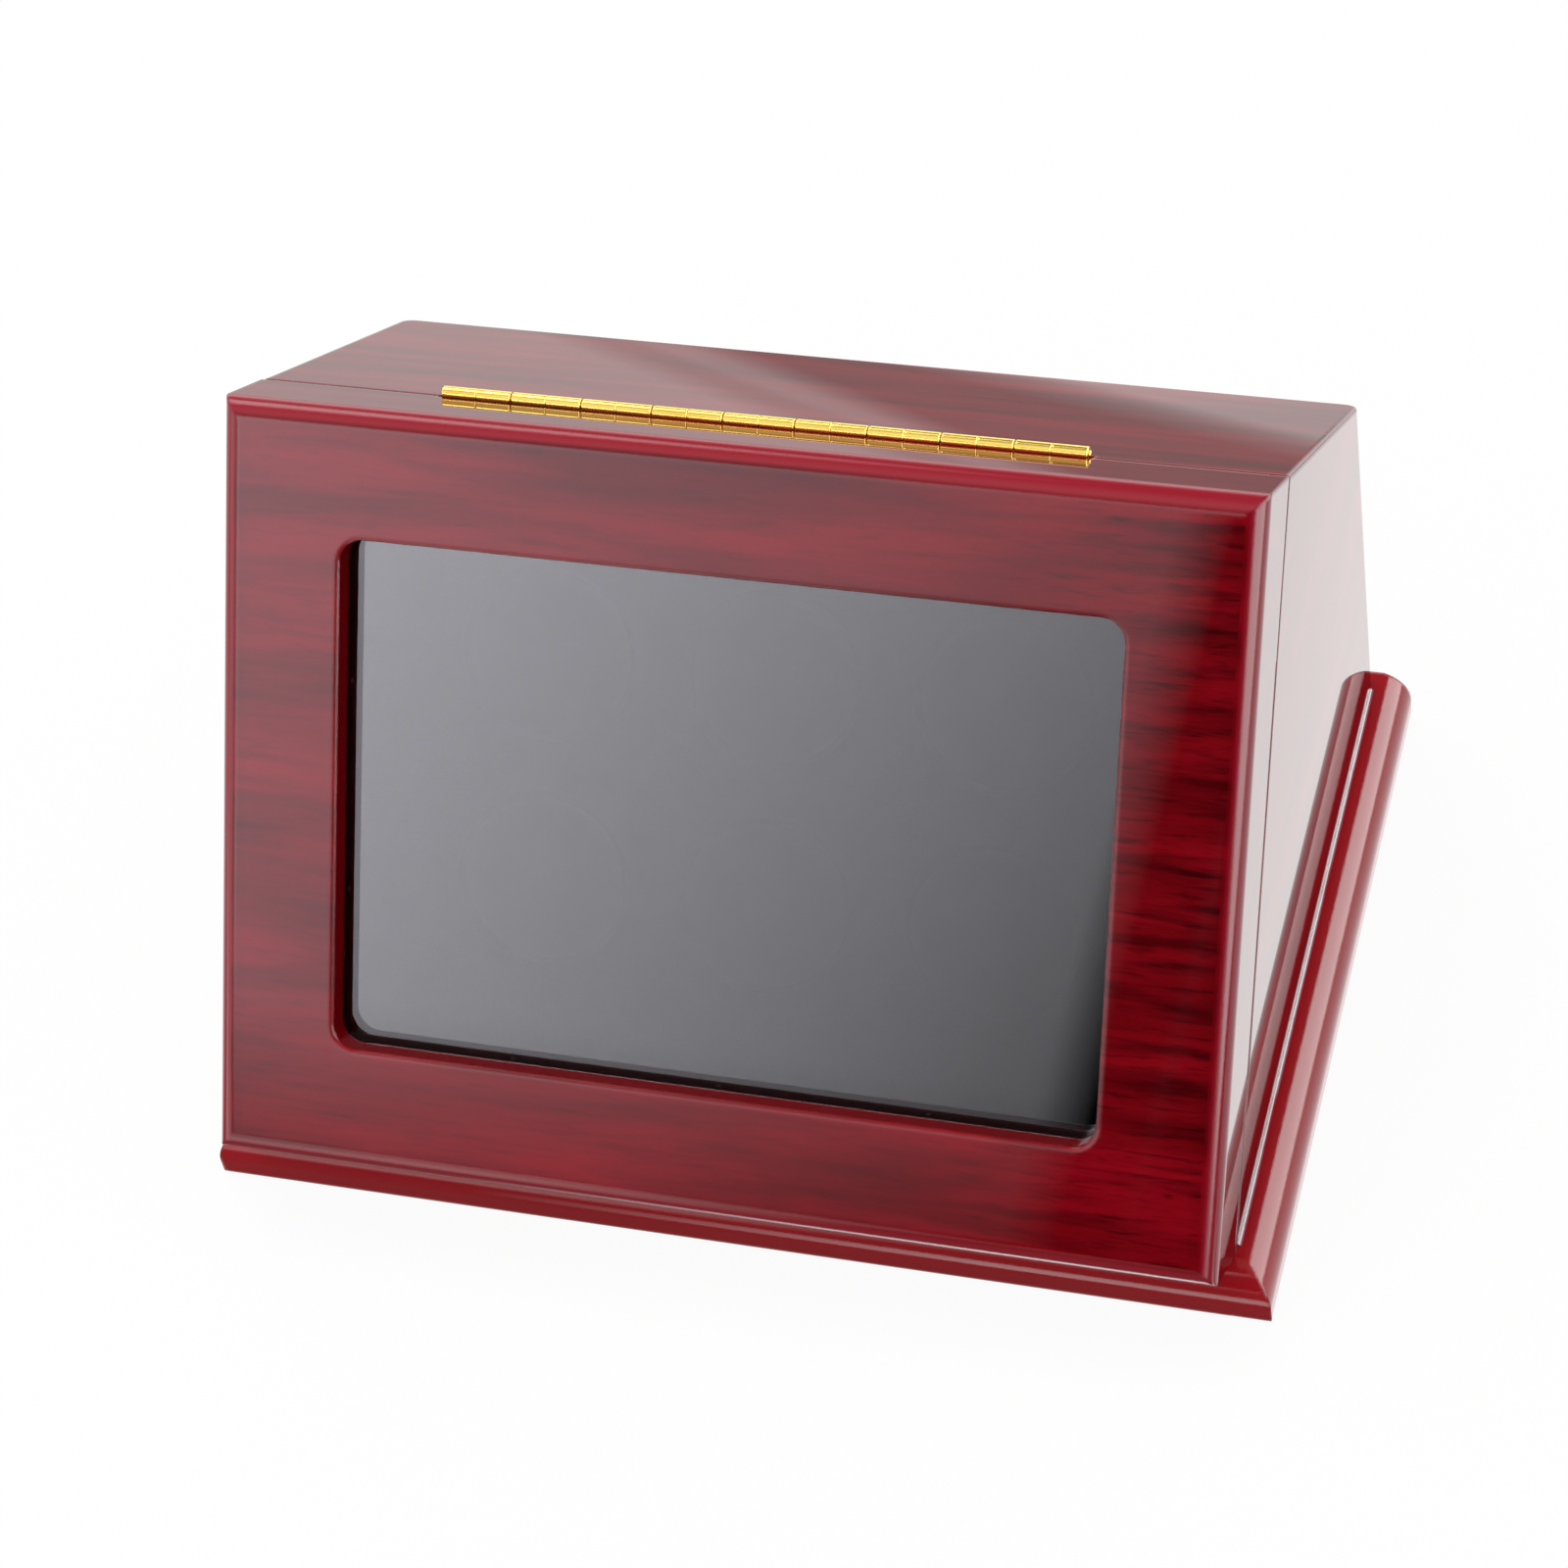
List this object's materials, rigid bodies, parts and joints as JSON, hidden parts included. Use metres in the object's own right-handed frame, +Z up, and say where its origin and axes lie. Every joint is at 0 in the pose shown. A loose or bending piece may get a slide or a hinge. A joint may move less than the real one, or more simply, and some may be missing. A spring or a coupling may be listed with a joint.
{
  "type": "golf ball display case",
  "caption": "Slant-front tabletop display case in dark red gloss lacquer, with a glazed door on a brass piano hinge along the top and a routed base plate, over a cupped tray for golf balls.",
  "frame": {"origin": "middle of the overall box, on the surface that the case stands on", "axes": "+X across the case to its right as seen from the front, +Y to its back, +Z up; the glazed door faces -Y and up"},
  "size_m": [0.2582, 0.1984, 0.1768],
  "materials": {
    "lacquered_board": "high-gloss piano lacquer over dark red stained grain on board",
    "hinge_brass": "bright polished",
    "fastener_steel": "zinc plated",
    "black_flock": "short black flock on a rigid board",
    "stained_bead": "dark red stain, satin",
    "bare_softwood": "planed, unfinished",
    "clear_glass": "clear float glass",
    "base_felt_cloth": "pressed black felt",
    "clear_bumper": "clear soft dots"
  },
  "bodies": {
    "case": {"base_plate": "lacquered_board", "base_felt": "base_felt_cloth", "side_panel_left": "lacquered_board", "side_panel_right": "lacquered_board", "top_panel": "lacquered_board", "back_panel": "lacquered_board", "front_sill": "lacquered_board", "base_screws": "fastener_steel", "side_lining_left": "black_flock", "side_lining_right": "black_flock", "top_lining": "black_flock", "floor_lining": "black_flock", "ball_tray": "black_flock", "tray_cleat_left": "bare_softwood", "tray_cleat_right": "bare_softwood", "door_bumpers": "clear_bumper", "hinge_case_leaf": "hinge_brass", "hinge_pin": "hinge_brass", "hinge_case_screws": "hinge_brass"},
    "door": {"door_frame": "lacquered_board", "door_glass": "clear_glass", "glass_bead_top": "stained_bead", "glass_bead_right": "stained_bead", "glass_bead_bottom": "stained_bead", "glass_bead_left": "stained_bead", "glass_bead_pins": "fastener_steel", "hinge_door_leaf": "hinge_brass", "hinge_door_screws": "hinge_brass"}
  },
  "joints": [
    {"name": "door_hinge", "type": "hinge", "parent": "case", "child": "door", "pos_m": [0, 0.02328, 0.16495], "axis": [-1, 0, 0], "range_deg": [0, 182]}
  ]
}
